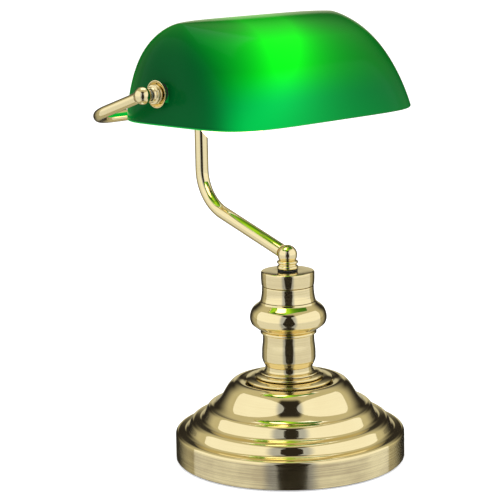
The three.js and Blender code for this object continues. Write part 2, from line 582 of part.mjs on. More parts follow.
// ---- lampholder and bulb, on an axis along X ----
function addHolderAndBulb() {
  const onAxis = new THREE.Group();
  onAxis.position.set(0, HOLDER_Y, HOLDER_Z);
  lamp.add(onAxis);
  add('holder_shell', turnedAlongX([
    [17.4, 0], [18.6, 0], [19.2, 0.8], [19, 3], [19, 34], [17.4, 34]], ROUND.column),
  satinBrass, onAxis);
  add('holder_cap', turnedAlongX([
    [17.4, 34.3], [19, 34.3], [19, 38], [17.6, 43], [13.6, 47.4], [8.4, 49.8],
    [CLEAR_BORE, 50], [CLEAR_BORE, 48.4], [8, 48.2], [12.6, 46], [16.2, 42.2],
    [17.4, 38]], ROUND.column), satinBrass, onAxis);
  add('screw_contact', turnedAlongX([
    [13.8, 6], [14.8, 6], [14.8, 34.4], [6, 34.4], [6, 33.6], [13.8, 33.6]], ROUND.fitting),
  polishedBrass, onAxis);
  add('holder_insert', turnedAlongX([
    [2.2, 36.4], [8, 36.4], [8, 34.8], [15.8, 34.8], [15.8, 41], [2.2, 41]], ROUND.fitting),
  whiteCeramic, onAxis);
  add('centre_contact', turnedAlongX([
    [0, 34.3], [3.4, 34.3], [3.4, 35], [1.8, 35.4], [1.8, 43], [0, 43]], ROUND.small),
  polishedBrass, onAxis);
  add('holder_nipple', ringAlongX(3, TUBE_RADIUS, 46.4, 58.2, ROUND.fitting), plainSteel, onAxis);
  add('nipple_nut', nut(14, CLEAR_BORE, 52.6, 56.4).rotateY(Math.PI / 2), plainSteel, onAxis);

  const shadeWire = new BentPath([
    spot(94 - GAP, PIVOT_Y, PIVOT_Z), spot(78, PIVOT_Y, PIVOT_Z), spot(78, HOLDER_Y, HOLDER_Z),
    spot(45, HOLDER_Y, HOLDER_Z)], 8, 5);
  add('holder_wire', tubeAlong(shadeWire, WIRE_RADIUS, 0, 6), wireSheath);

  // Globe and neck of the bulb, open at the neck where the cap is cemented on.
  const globe = (wall) => {
    const radius = BULB_RADIUS - wall;
    return Array.from({ length: 8 }, (_, i) => {
      const angle = THREE.MathUtils.degToRad(180 - 140 * i / 7);
      return [radius * Math.sin(angle), BULB_X + radius * Math.cos(angle)];
    });
  };
  const neck = (wall) => [[16 - wall, -8], [13.6 - wall, -1], [12.4 - wall, 4], [12.4 - wall, 9]];
  add('bulb_glass', turnedAlongX([
    ...globe(0), ...neck(0), ...neck(1).reverse(), ...globe(1).reverse()], ROUND.column),
  opalGlass, onAxis);
  add('bulb_screw_cap', turnedAlongX([
    [12.8, 3.4], [CAP_RADIUS, 3.4], [CAP_RADIUS, 25], [10.6, 28], [6, 29.6], [6, 28.8],
    [10, 27.2], [12, 24.6], [12, 9.6], [12.8, 9.6]], ROUND.column), polishedBrass, onAxis);
  add('bulb_insulator', turnedAlongX([
    [3.2, 30], [5.6, 30], [8.6, 30.4], [5.6, 32.6], [3.2, 32.6]], ROUND.fitting),
  blackRubber, onAxis);
  add('bulb_contact', turnedAlongX([
    [0, 30.6], [2.8, 30.6], [2.8, 33], [4.2, 33], [3, 33.8], [0, 34]], ROUND.small),
  plainSteel, onAxis);
}

addBase();
addColumn();
addArm();
addBow();
addShade();
addShadeFittings();
addHolderAndBulb();

export default lamp;
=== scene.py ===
"""Banker desk lamp: the pieces of the lamp in the order they are put together, from the
felt under the base up to the bulb in the green glass shade, and then the studio."""
import json
import math

import bpy
import numpy as np
from mathutils import Matrix, Vector


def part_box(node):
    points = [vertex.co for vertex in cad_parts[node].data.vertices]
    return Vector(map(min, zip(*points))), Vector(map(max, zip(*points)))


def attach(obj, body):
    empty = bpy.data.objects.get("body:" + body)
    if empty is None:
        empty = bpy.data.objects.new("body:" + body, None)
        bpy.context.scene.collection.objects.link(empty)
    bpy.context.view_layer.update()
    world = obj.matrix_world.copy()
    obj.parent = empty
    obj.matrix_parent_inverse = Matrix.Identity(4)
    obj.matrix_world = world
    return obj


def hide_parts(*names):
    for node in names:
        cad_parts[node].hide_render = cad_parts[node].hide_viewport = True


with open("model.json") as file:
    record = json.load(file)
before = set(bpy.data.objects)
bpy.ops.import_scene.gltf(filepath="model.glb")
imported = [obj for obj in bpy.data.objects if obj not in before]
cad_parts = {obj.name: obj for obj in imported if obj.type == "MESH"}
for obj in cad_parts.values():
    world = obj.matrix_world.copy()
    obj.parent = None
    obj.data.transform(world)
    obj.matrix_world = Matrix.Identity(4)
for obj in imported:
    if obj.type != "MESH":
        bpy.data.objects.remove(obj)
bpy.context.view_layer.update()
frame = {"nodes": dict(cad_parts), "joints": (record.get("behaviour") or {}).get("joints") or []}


# ---- Felt pad ----
# A disc of dark pressed wool felt, glued under the base so that it neither slides nor
# scratches the desk. It is the face that the lamp stands on.
def new_material(name, **settings):
    """A material with one Principled shader, whose plain sockets take the given settings."""
    material = bpy.data.materials.new(name)
    material.use_nodes = True
    shader = material.node_tree.nodes["Principled BSDF"]
    for socket, value in settings.items():
        shader.inputs[socket.capitalize()].default_value = value
    return material, material.node_tree, shader


def wire(tree, *pairs):
    """Links each pair of output and input sockets."""
    for out_socket, in_socket in pairs:
        tree.links.new(out_socket, in_socket)


def new_group(name, inputs, outputs):
    """An empty shader group: inputs are (name, kind, value), outputs are (name, kind)."""
    group = bpy.data.node_groups.new(name, "ShaderNodeTree")
    for title, kind, value in inputs:
        socket = group.interface.new_socket(title, in_out="INPUT", socket_type=kind)
        if value is not None:
            socket.default_value = value
    for title, kind in outputs:
        group.interface.new_socket(title, in_out="OUTPUT", socket_type=kind)
    return group, group.nodes.new("NodeGroupInput"), group.nodes.new("NodeGroupOutput")


def speckle_group():
    """Fine and coarse noise over Object coordinates, as a tint between two colours and a
    height: the tint follows the coarse noise and the height the fine one."""
    group, given, result = new_group(
        "speckled surface",
        [("Fine", "NodeSocketFloat", 900.0), ("Coarse", "NodeSocketFloat", 60.0),
         ("Dark", "NodeSocketColor", (0, 0, 0, 1)), ("Light", "NodeSocketColor", (1, 1, 1, 1))],
        [("Color", "NodeSocketColor"), ("Height", "NodeSocketFloat")])
    place = group.nodes.new("ShaderNodeTexCoord")
    fine, coarse = group.nodes.new("ShaderNodeTexNoise"), group.nodes.new("ShaderNodeTexNoise")
    mix = group.nodes.new("ShaderNodeMix")
    mix.data_type = "RGBA"
    wire(group,
         (place.outputs["Object"], fine.inputs["Vector"]), (given.outputs["Fine"], fine.inputs["Scale"]),
         (place.outputs["Object"], coarse.inputs["Vector"]),
         (given.outputs["Coarse"], coarse.inputs["Scale"]),
         (coarse.outputs["Fac"], mix.inputs["Factor"]), (given.outputs["Dark"], mix.inputs["A"]),
         (given.outputs["Light"], mix.inputs["B"]), (mix.outputs["Result"], result.inputs["Color"]),
         (fine.outputs["Fac"], result.inputs["Height"]))
    return group


speckled = speckle_group()


def speckled_material(name, dark, light, fine, coarse, depth, **settings):
    """A material whose colour and bump come from the speckled surface group."""
    material, tree, shader = new_material(name, **settings)
    surface = tree.nodes.new("ShaderNodeGroup")
    surface.node_tree = speckled
    surface.inputs["Fine"].default_value = fine
    surface.inputs["Coarse"].default_value = coarse
    surface.inputs["Dark"].default_value = (*dark, 1)
    surface.inputs["Light"].default_value = (*light, 1)
    bump = tree.nodes.new("ShaderNodeBump")
    bump.inputs["Strength"].default_value = 1.0
    bump.inputs["Distance"].default_value = depth
    wire(tree, (surface.outputs["Color"], shader.inputs["Base Color"]),
         (surface.outputs["Height"], bump.inputs["Height"]),
         (bump.outputs["Normal"], shader.inputs["Normal"]))
    return material


def dress(material, slot, *nodes):
    """Gives CAD nodes that are kept as they are their material."""
    for node in nodes:
        piece = frame["nodes"][node]
        piece.data.materials.clear()
        piece.data.materials.append(material)


felt = speckled_material("pressed felt", (0.006, 0.008, 0.006), (0.02, 0.026, 0.02),
                         fine=1500, coarse=120, depth=0.0003, roughness=0.95)
felt.node_tree.nodes["Principled BSDF"].inputs["Sheen Weight"].default_value = 0.5
dress(felt, "felt", "felt_pad")

# ---- Bottom plate, weight and tie tube ----
# The zinc-plated plate and the cast-iron weight are clamped by nuts on a threaded steel
# tube, which runs up through the whole column and carries the lead.
zinc_steel = speckled_material("zinc-plated steel", (0.42, 0.43, 0.44), (0.62, 0.63, 0.65),
                               fine=1200, coarse=90, depth=0.00002, metallic=1.0, roughness=0.32)
grey_iron = speckled_material("cast iron", (0.035, 0.035, 0.037), (0.07, 0.07, 0.073),
                              fine=700, coarse=110, depth=0.0003, metallic=0.7, roughness=0.75)
ivory_sheath = speckled_material("ivory lead", (0.66, 0.62, 0.52), (0.74, 0.70, 0.60),
                                 fine=500, coarse=70, depth=0.00003, roughness=0.5)
white_ceramic = speckled_material("bisque ceramic", (0.70, 0.67, 0.61), (0.80, 0.78, 0.73),
                                  fine=1500, coarse=150, depth=0.00004, roughness=0.55)
black_rubber = speckled_material("black rubber", (0.012, 0.012, 0.012), (0.028, 0.028, 0.028),
                                 fine=1100, coarse=130, depth=0.00006, roughness=0.6)
dress(zinc_steel, "steel", "bottom_plate", "tie_tube", "weight_nut_lower", "weight_nut_upper",
      "shell_washer", "shell_nut")
dress(grey_iron, "cast_iron", "base_weight")
dress(ivory_sheath, "wire", "supply_wire")
dress(white_ceramic, "ceramic", "terminal_block")

# ---- Base shell ----
# One sheet of brass, spun over a chuck: a brushed skirt, two stepped rings, a high dome
# and a flat crown. Only the skirt is brushed; the rest is polished and lacquered. The
# skirt's brass is also painted darker, as shade.
MM = 0.001
AROUND = 192        # columns round a turned piece
SHEET = 1.4
BORE = 5.2          # of every piece that is threaded on the tie tube
BASE_RADIUS = round(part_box("base_shell")[1][0] / MM, 3)
SKIRT_TOP = 20.5
DOME_FOOT, CROWN_EDGE, CROWN_Z = (63.45, 44.1), 36.5, 64


def rounded(outline, steps=6):
    """Each corner of a closed outline, (across, along, ease) in mm, becomes a quadratic
    curve that starts and ends its ease away, but never past the middle of a side."""
    table = np.asarray(outline, float)
    corner, ease = table[:, :2], table[:, 2:]

    def towards(neighbour):
        """The point that lies each corner's ease away, on the side to its neighbour."""
        way = neighbour - corner
        length = np.maximum(np.linalg.norm(way, axis=1, keepdims=True), 1e-9)
        return corner + way / length * np.minimum(ease, length / 2)

    start, end = towards(np.roll(corner, 1, 0)), towards(np.roll(corner, -1, 0))
    s = np.linspace(0, 1, steps)[None, :, None]
    curve = ((1 - s) ** 2 * start[:, None] + 2 * s * (1 - s) * corner[:, None]
             + s ** 2 * end[:, None]).reshape(-1, 2)
    apart = np.linalg.norm(curve - np.roll(curve, 1, 0), axis=1)
    return curve[apart > 1e-4]


def across_flats(angle, half_width, sides=6):
    """Radius of a regular prism at an angle: half its width over the cosine of the angle
    from the middle of the nearest flat."""
    flat = 2 * np.pi / sides
    return half_width / np.cos((angle + flat / 2) % flat - flat / 2)


def around_axis(radius, along, origin, direction):
    """Points of a surface of revolution: radius and along are grids (rows, columns), and
    each column stands at its own angle round the axis."""
    axis = np.asarray(direction, float) / np.linalg.norm(direction)
    side = np.cross(axis, (1.0, 0, 0) if abs(axis[0]) < 0.9 else (0, 1.0, 0))
    side /= np.linalg.norm(side)
    angle = np.linspace(0, 2 * np.pi, radius.shape[1], endpoint=False)
    spoke = np.cos(angle)[:, None] * side + np.sin(angle)[:, None] * np.cross(axis, side)
    return (np.asarray(origin, float) + along[..., None] * axis
            + radius[..., None] * spoke[None])


def grid_faces(points, rows_close=False):
    """Faces of a grid whose columns close round and whose rows close too, or run out at a
    pole or a ridge. Points that fall together become one, and a quad with such a side
    becomes a triangle. Returns the points that are left and the faces."""
    rows, columns = points.shape[:2]
    points, index = np.unique(points.reshape(-1, 3).round(5), axis=0, return_inverse=True)
    index = index.reshape(rows, columns)
    low, high = (index, np.roll(index, -1, 0)) if rows_close else (index[:-1], index[1:])
    quads = np.stack([low, np.roll(low, -1, 1), np.roll(high, -1, 1), high], -1).reshape(-1, 4)
    shut = quads == np.roll(quads, -1, 1)
    faces = quads[~shut.any(1)].tolist()
    for side in range(4):
        faces += np.delete(quads[shut[:, side] & (shut.sum(1) == 1)], side, 1).tolist()
    return points, faces


def read_vectors(items, field):
    """A vector field of a mesh's vertices or faces as rows."""
    values = np.zeros(len(items) * 3)
    items.foreach_get(field, values)
    return values.reshape(-1, 3)


def closed_mesh(name, points, faces):
    """A closed mesh from points in mm, turned so that its faces point outwards: the sum of
    each face's area times its distance along its normal is three times the volume."""
    mesh = bpy.data.meshes.new(name)
    mesh.from_pydata((points * MM).tolist(), [], faces)
    mesh.update()
    along_normal = (read_vectors(mesh.polygons, "normal")
                    * read_vectors(mesh.polygons, "center")).sum(1)
    area = np.zeros(len(mesh.polygons))
    mesh.polygons.foreach_get("area", area)
    if (area * along_normal).sum() < 0:
        mesh.flip_normals()
    return mesh


def make_piece(name, points, faces, body, slot, material, *stands_for, crease=32):
    """A mesh object in the lamp's frame, faces outwards, smooth except at sharp creases,
    riding on its body in place of the CAD nodes that it stands for."""
    mesh = closed_mesh(name, points, faces)
    mesh.shade_smooth()
    mesh.set_sharp_from_angle(angle=math.radians(crease))
    mesh.materials.append(material)
    piece = bpy.data.objects.new(name, mesh)
    bpy.context.scene.collection.objects.link(piece)
    if stands_for:
        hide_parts(*stands_for)
    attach(piece, body)
    return piece


def turned(name, outline, body, slot, material, *stands_for, origin=(0, 0, 0), direction=(0, 0, 1)):
    """A closed outline of (radius, height) points carried round an axis."""
    outline = np.asarray(outline, float)
    radius = np.repeat(outline[:, :1], AROUND, 1)
    along = np.repeat(outline[:, 1:2], AROUND, 1)
    open_ends = outline[0, 0] < 1e-6 and outline[-1, 0] < 1e-6
    points, faces = grid_faces(around_axis(radius, along, origin, direction), not open_ends)
    return make_piece(name, points, faces, body, slot, material, *stands_for)


def turning_group():
    """Marks that a buffing wheel leaves round a turned piece: noise stretched so that it
    changes fast along the axis and slowly round it, and a broad cloudiness."""
    group, given, result = new_group(
        "turning marks",
        [("Vector", "NodeSocketVector", None), ("Fineness", "NodeSocketFloat", 2500.0),
         ("Smooth", "NodeSocketFloat", 0.05), ("Rough", "NodeSocketFloat", 0.12),
         ("Deep", "NodeSocketColor", (0, 0, 0, 1)), ("Bright", "NodeSocketColor", (1, 1, 1, 1))],
        [("Color", "NodeSocketColor"), ("Roughness", "NodeSocketFloat"),
         ("Height", "NodeSocketFloat")])
    nodes = group.nodes
    stretch = nodes.new("ShaderNodeVectorMath")
    stretch.operation = "MULTIPLY"
    fineness = nodes.new("ShaderNodeCombineXYZ")
    fineness.inputs["X"].default_value = fineness.inputs["Y"].default_value = 14.0
    lines, clouds = nodes.new("ShaderNodeTexNoise"), nodes.new("ShaderNodeTexNoise")
    lines.inputs["Scale"].default_value = 1.0
    lines.inputs["Detail"].default_value = 3.0
    clouds.inputs["Scale"].default_value = 35.0
    clouds.inputs["Detail"].default_value = 4.0
    both = nodes.new("ShaderNodeMix")
    both.inputs["Factor"].default_value = 0.5
    rough, tint, spread = [nodes.new(f"ShaderNode{kind}") for kind in ("MapRange", "Mix", "MapRange")]
    for stage in (rough, spread):
        stage.inputs["From Min"].default_value, stage.inputs["From Max"].default_value = 0.38, 0.62
    tint.data_type = "RGBA"
    wire(group,
         (given.outputs["Fineness"], fineness.inputs["Z"]),
         (given.outputs["Vector"], stretch.inputs[0]), (fineness.outputs["Vector"], stretch.inputs[1]),
         (stretch.outputs["Vector"], lines.inputs["Vector"]),
         (given.outputs["Vector"], clouds.inputs["Vector"]),
         (lines.outputs["Fac"], both.inputs["A"]), (clouds.outputs["Fac"], both.inputs["B"]),
         (both.outputs["Result"], rough.inputs["Value"]),
         (given.outputs["Smooth"], rough.inputs["To Min"]),
         (given.outputs["Rough"], rough.inputs["To Max"]),
         (both.outputs["Result"], spread.inputs["Value"]),
         (spread.outputs["Result"], tint.inputs["Factor"]), (given.outputs["Deep"], tint.inputs["A"]),
         (given.outputs["Bright"], tint.inputs["B"]), (tint.outputs["Result"], result.inputs["Color"]),
         (rough.outputs["Result"], result.inputs["Roughness"]),
         (lines.outputs["Fac"], result.inputs["Height"]))
    return group


turning_marks = turning_group()


def brass(name, smooth, rough, depth, deep=(0.86, 0.73, 0.42), fineness=2500, stretch=0.0,
          axis="Z", centre=(0, 0, 0), turn=(0, 0, 0)):
    """Lacquered pale brass. stretch is the anisotropy of brushed work, whose highlight
    runs across the brush marks; turn brings the piece's own axis onto Z."""
    material, tree, shader = new_material(name, metallic=1.0, anisotropic=stretch)
    shader.inputs["Coat Weight"].default_value = 0.25
    shader.inputs["Coat Roughness"].default_value = 0.04
    marks = tree.nodes.new("ShaderNodeGroup")
    marks.node_tree = turning_marks
    marks.inputs["Smooth"].default_value = smooth
    marks.inputs["Rough"].default_value = rough
    marks.inputs["Fineness"].default_value = fineness
    marks.inputs["Deep"].default_value = (*deep, 1)
    marks.inputs["Bright"].default_value = (0.90, 0.78, 0.46, 1)
    place, onto_axis = tree.nodes.new("ShaderNodeTexCoord"), tree.nodes.new("ShaderNodeMapping")
    onto_axis.inputs["Location"].default_value = [-c * MM for c in centre]
    onto_axis.inputs["Rotation"].default_value = turn
    bump = tree.nodes.new("ShaderNodeBump")
    bump.inputs["Strength"].default_value = 1.0
    bump.inputs["Distance"].default_value = depth
    wire(tree,
         (place.outputs["Object"], onto_axis.inputs["Vector"]),
         (onto_axis.outputs["Vector"], marks.inputs["Vector"]),
         (marks.outputs["Color"], shader.inputs["Base Color"]),
         (marks.outputs["Roughness"], shader.inputs["Roughness"]),
         (marks.outputs["Height"], bump.inputs["Height"]),
         (bump.outputs["Normal"], shader.inputs["Normal"]))
    if stretch:
        shader.inputs["Anisotropic Rotation"].default_value = 0.25
        tangent = tree.nodes.new("ShaderNodeTangent")
        tangent.direction_type, tangent.axis = "RADIAL", axis
        wire(tree, (tangent.outputs["Tangent"], shader.inputs["Tangent"]))
    return material


polished_brass = brass("polished brass", smooth=0.03, rough=0.085, depth=0.000002)
# The brushed copy's deep colour, far darker than the polished one, is painted shade: it stands for the
# dimmer reflections on the brushed skirt.
BRUSHED_AND_SHADED = {"smooth": 0.10, "rough": 0.20, "depth": 0.000008, "deep": (0.54, 0.445, 0.265),
           "fineness": 1100, "stretch": 0.95}
brushed_and_shaded_brass = brass("brushed brass", **BRUSHED_AND_SHADED)


def bezier(*handles, count=32):
    """Points of a cubic curve through its first and last handle."""
    a, b, c, d = np.asarray(handles, float)
    s = np.linspace(0, 1, count)[:, None]
    return (1 - s) ** 3 * a + 3 * s * (1 - s) ** 2 * b + 3 * s ** 2 * (1 - s) * c + s ** 3 * d


def inside_of(skin, thickness):
    """The skin moved inwards by the sheet's thickness, along its own normals."""
    way = np.gradient(skin, axis=0)
    way /= np.linalg.norm(way, axis=1, keepdims=True)
    return skin - thickness * np.stack([way[:, 1], -way[:, 0]], 1)


base_skin = np.vstack([
    rounded([(BASE_RADIUS - 0.4, 0.8, 0), (BASE_RADIUS, 1.3, 0), (BASE_RADIUS, 23.7, 3.2),
             (84.2, 23.9, 3), (81, 33.1, 3.4), (71.5, 33.5, 3), (67.2, 43.7, 3.4),
             (*DOME_FOOT, 0)], steps=14),
    bezier(DOME_FOOT, (51.7, 48.05), (53.08, 69.9), (CROWN_EDGE, CROWN_Z))[1:],
    [(BORE, CROWN_Z)]])
base_outline = np.vstack([base_skin, inside_of(base_skin, SHEET)[::-1]])
base_shell = turned("spun_base_shell", base_outline, "base", "polished_brass", polished_brass,
                    "base_shell")
base_shell.data.materials.append(brushed_and_shaded_brass)
face_centre = read_vectors(base_shell.data.polygons, "center") / MM
on_skirt = ((face_centre[:, 2] < SKIRT_TOP)
            & (np.hypot(face_centre[:, 0], face_centre[:, 1]) > BASE_RADIUS - SHEET / 2))
base_shell.data.polygons.foreach_set("material_index", on_skirt.astype(np.int32))

# ---- Lead gland ----
# A black rubber bush with a rounded lip outside, pressed in low at the back of the skirt,
# where the lead enters.
turned("rubber_gland", rounded([
    (3.3, 87.5, 0.4), (5, 87.5, 0.3), (5, 94.3, 0.2), (7, 94.3, 0.3), (7, 95.3, 0.6),
    (5.6, 96.6, 0.5), (3.3, 96.6, 0.5)]), "base", "rubber", black_rubber, "cord_gland",
       origin=(0, 0, 11), direction=(0, 1, 0))

# ---- Column ----
# Rings and sleeves turned from brass, stacked on the tie tube and squeezed by it. The
# beads, the flange and the bulge are polished; the sleeves and the cap have a satin finish.
satin_brass = brass("satin brass", smooth=0.05, rough=0.13, depth=0.000004,
                    deep=(0.80, 0.67, 0.40), fineness=1100, stretch=0.6)
HOLLOW = 14         # bore of the hollow pieces of the column
turned("wide_foot_ring", rounded([
    (BORE, 64.3, 0.2), (34.2, 64.3, 0.3), (35.4, 64.9, 0.9), (35.4, 66.6, 0.9), (31, 67.4, 0.8),
    (29, 67.5, 0.3), (BORE, 67.5, 0.2)]), "base", "polished_brass", polished_brass, "foot_ring_wide")
turned("narrow_foot_ring", rounded([
    (BORE, 67.8, 0.2), (26.6, 67.8, 0.3), (28, 68.4, 0.9), (28, 70.1, 0.9), (24.8, 70.9, 0.6),
    (BORE, 70.9, 0.2)]), "base", "polished_brass", polished_brass, "foot_ring_narrow")
turned("flared_foot", rounded([
    (BORE, 71.2, 0.2), (24, 71.2, 0.3), (23.8, 72.1, 0.5), (19.4, 72.6, 3), (19.2, 77, 0.2),
    (BORE, 77, 0.2)], steps=12), "base", "polished_brass", polished_brass, "column_foot")
turned("lower_column_sleeve", rounded([
    (HOLLOW, 77.3, 0.2), (19.7, 77.3, 0.3), (20.9, 79.9, 1.2), (22, 82.6, 1.6), (21.9, 91, 4),
    (21.05, 97.4, 2), (21, 103.5, 0.3), (HOLLOW, 103.5, 0.2), (HOLLOW, 101.5, 0.2), (19, 101, 1),
    (19.4, 84, 2), (18, 79.6, 1), (HOLLOW, 79.3, 0.2)]), "base", "satin_brass", satin_brass,
       "lower_sleeve")
turned("thin_flange", rounded([
    (HOLLOW, 103.8, 0.2), (22, 103.8, 0.3), (22.9, 104.3, 0.5), (22.9, 105.6, 0.6), (21.6, 106.9, 0.4),
    (HOLLOW, 106.9, 0.2)]), "base", "polished_brass", polished_brass, "flange_ring")
turned("column_bulge_shell", rounded([
    (HOLLOW, 107.2, 0.2), (22.9, 107.2, 0.2), (25.2, 108.5, 0.8), (30.1, 112.2, 1.4), (31.8, 117.3, 3.6),
    (29.6, 125, 3.8), (23.6, 129.3, 0.5), (22.7, 130.8, 0.2), (HOLLOW, 130.8, 0.2), (HOLLOW, 128.4, 0.2),
    (20.5, 127.9, 1), (27.6, 121, 2), (28.4, 115.4, 2), (22.6, 109.6, 1), (HOLLOW, 109.4, 0.2)],
    steps=12), "base", "polished_brass", polished_brass, "column_bulge")
turned("upper_column_sleeve", rounded([
    (HOLLOW, 131.1, 0.2), (22.5, 131.1, 0.3), (21.9, 133.6, 1.2), (21.2, 138, 2), (21.1, 143.4, 0.9),
    (HOLLOW, 143.4, 0.2), (HOLLOW, 141.6, 0.2), (19, 141.4, 1), (19.8, 133, 1), (HOLLOW, 132.8, 0.2)]),
       "base", "satin_brass", satin_brass, "upper_sleeve")
turned("column_cap_shell", rounded([
    (HOLLOW, 143.7, 0.2), (21.4, 143.7, 0.9), (21.8, 149, 2), (21.8, 155.5, 1.5), (BORE, 155.5, 0.3),
    (BORE, 153.1, 0.2), (19.2, 152.9, 1), (19.2, 146, 1), (HOLLOW, 145.8, 0.2)]),
       "base", "satin_brass", satin_brass, "column_cap")

# ---- Neck and knuckle ball ----
# A small turned brass neck swivels on the end of the tie tube, over a black washer. The
# ball on it is soldered to the arm.
BALL_CENTRE, BALL_RADIUS = np.array([0, 0, 168.6]), 8.0
dress(black_rubber, "rubber", "swivel_washer")
turned("grooved_neck", rounded([
    (BORE, 156.9, 0.1), (7.4, 156.9, 0.3), (8.6, 157.5, 0.7), (8.6, 159.3, 0.7), (7.4, 160.2, 0.4),
    (7.3, 161.2, 0.4), (8.6, 161.9, 0.7), (8.6, 163.5, 0.7), (7, 164.1, 0.3), (6.6, 164.5, 0.2),
    (3.4, 164.5, 0.1), (3.4, 162, 0.1), (BORE, 161.6, 0.1)]), "arm", "polished_brass",
       polished_brass, "turned_neck")


def ball_outline(radius, bore, flat_at=-1.0, count=64):
    """A ball's outline round its axis: an arc from the flat at its foot over its crown, with
    a blind bore from the foot to the middle."""
    start = math.asin(max(flat_at, -0.999))
    angle = np.linspace(start, np.pi / 2, count)
    arc = np.stack([radius * np.cos(angle), radius * np.sin(angle)], 1)
    arc[-1, 0] = 0
    foot = radius * math.sin(start)
    return np.vstack([[(0, 0.5), (bore, 0), (bore, foot)], arc])


turned("knuckle", ball_outline(BALL_RADIUS, 3.4, -0.49), "arm", "polished_brass",
       polished_brass, "knuckle_ball", origin=BALL_CENTRE)

# ---- Arm ----
# A drawn and polished brass tube. It is soldered into the knuckle ball, leaves it at a low
# rise, bends up once and ends in the tee.
ARM_RADIUS, ARM_BORE, ARM_BEND = 5.5, 4.5, 37
ARM_RISE = math.radians(19.5)
ARM_Y, ARM_TOP = 98, 278
EDGE = 0.25         # how much is broken off the edge of a tube's end or a nut's bore
arm_along = np.array([0, math.cos(ARM_RISE), math.sin(ARM_RISE)])


def bent_path(corners, bends, arc_steps=28):
    """Points along straight runs joined by circular bends. Each bend turns the spoke from
    its centre to its start about the corner's own axis, by the angle the path turns."""
    corners = [np.asarray(c, float) for c in corners]
    path = [corners[0][None]]
    for before, here, after, bend in zip(corners, corners[1:], corners[2:], bends):
        back, on = before - here, after - here
        back, on = back / np.linalg.norm(back), on / np.linalg.norm(on)
        half = math.acos(np.clip(back @ on, -1, 1)) / 2
        middle = here + (back + on) / np.linalg.norm(back + on) * bend / math.sin(half)
        spoke = here + back * bend / math.tan(half) - middle
        axis = np.cross(back, on)
        axis /= np.linalg.norm(axis)
        angle = -(math.pi - 2 * half) * np.linspace(0, 1, arc_steps)[:, None]
        path.append(middle + spoke * np.cos(angle) + np.cross(axis, spoke) * np.sin(angle))
    return np.vstack(path + [corners[-1][None]])


def tube(name, path, radius, bore, body, slot, material, *stands_for, sides=48):
    """A round tube along a flat path: circles in the planes across it, the outer wall out
    and the bore back, so that the ends are flat rings."""
    tangent = np.gradient(path, axis=0)
    tangent[0], tangent[-1] = path[1] - path[0], path[-1] - path[-2]
    tangent /= np.linalg.norm(tangent, axis=1, keepdims=True)
    across = np.cross(tangent, np.roll(tangent, 1, 0))
    across = across[np.linalg.norm(across, axis=1).argmax()]
    across = across / np.linalg.norm(across)
    rise = np.cross(tangent, across)
    angle = np.linspace(0, 2 * np.pi, sides, endpoint=False)
    spoke = (np.cos(angle)[None, :, None] * across + np.sin(angle)[None, :, None] * rise[:, None])
    outer = path[:, None] + radius * spoke
    lips = [path[end] + (radius - EDGE) * spoke[end] for end in (0, -1)]
    outer[0] += tangent[0] * EDGE
    outer[-1] -= tangent[-1] * EDGE
    inner = (path[:, None] + bore * spoke)[::-1]
    points, faces = grid_faces(np.concatenate([lips[0][None], outer, lips[1][None], inner]), True)
    return make_piece(name, points, faces, body, slot, material, *stands_for)


arm_corner = BALL_CENTRE + arm_along * ARM_Y / math.cos(ARM_RISE)
arm_path = bent_path([BALL_CENTRE + 6.6 * arm_along, arm_corner, (0, ARM_Y, ARM_TOP)], [ARM_BEND])
tube("bent_arm_tube", arm_path, ARM_RADIUS, ARM_BORE, "arm", "polished_brass", polished_brass,
     "arm_tube")

# ---- Tee ----
# A brass tee: the arm is soldered into its stub, and a pan-head screw at the back
# clamps the bow in its sleeve.
BOW_Z, BOW_RADIUS = 283, 4.5
turned("tee_sleeve", rounded([
    (4.8, -12, 0.3), (6.3, -12, 0.4), (7, -11.2, 0.6), (7, 11.2, 0.6), (6.3, 12, 0.4),
    (4.8, 12, 0.3)]), "arm", "polished_brass", polished_brass, "bow_tee",
       origin=(0, ARM_Y, BOW_Z), direction=(1, 0, 0))
turned("tee_stub", rounded([
    (5.8, 275.5, 0.2), (6.6, 275.5, 0.4), (7, 276.3, 0.5), (7, 279.2, 0.1), (5.8, 279.2, 0.1)]),
       "arm", "polished_brass", polished_brass, origin=(0, ARM_Y, 0))


def socket_screw(name, outline, socket, body, *stands_for, origin, direction):
    """A turned screw whose head has a six-sided socket: the rows of the socket take the
    radius of a hexagon."""
    outline = np.asarray(outline, float)
    angle = np.linspace(0, 2 * np.pi, AROUND, endpoint=False)
    radius = np.repeat(outline[:, :1], AROUND, 1)
    radius[socket] = across_flats(angle, outline[socket, 0].max())
    along = np.repeat(outline[:, 1:2], AROUND, 1)
    points, faces = grid_faces(around_axis(radius, along, origin, direction))
    return make_piece(name, points, faces, body, "steel", zinc_steel, *stands_for)


def screw_outline(shank, tip, seat, head, top):
    """Axis, shank, pan head and socket floor, as (radius, height) from the tip up."""
    depth = 0.55 * (top - seat)
    return [(0, tip), (shank - 0.3, tip), (shank, tip + 0.4), (shank, seat), (head - 0.2, seat),
            (head, seat + 0.2), (head, seat + 0.5 * (top - seat)), (head - 0.35, top - 0.25),
            (head - 0.9, top), (0.48 * head, top), (0.48 * head, top - depth), (0, top - depth)]


socket_screw("tee_clamp_screw", screw_outline(1.7, 4.8, 7.4, 3.2, 9.6), slice(9, 11), "arm",
             "tee_screw", origin=(-7, ARM_Y, BOW_Z), direction=(0, 1, 0))

# ---- Bow ----
# A thinner brass tube bent to a wide U that carries the shade. Its ends are soldered into
# two brass balls on the tilt axis.
BOW_BORE, BOW_BEND, BOW_X, BOW_BALL = 3.5, 30, 126.5, 6.8


def place_of(joint_name):
    """A joint's place in the frame, in mm."""
    place = next(j["pos_m"] for j in frame["joints"] if j["name"] == joint_name)
    return np.round(np.array(place) / MM, 3)


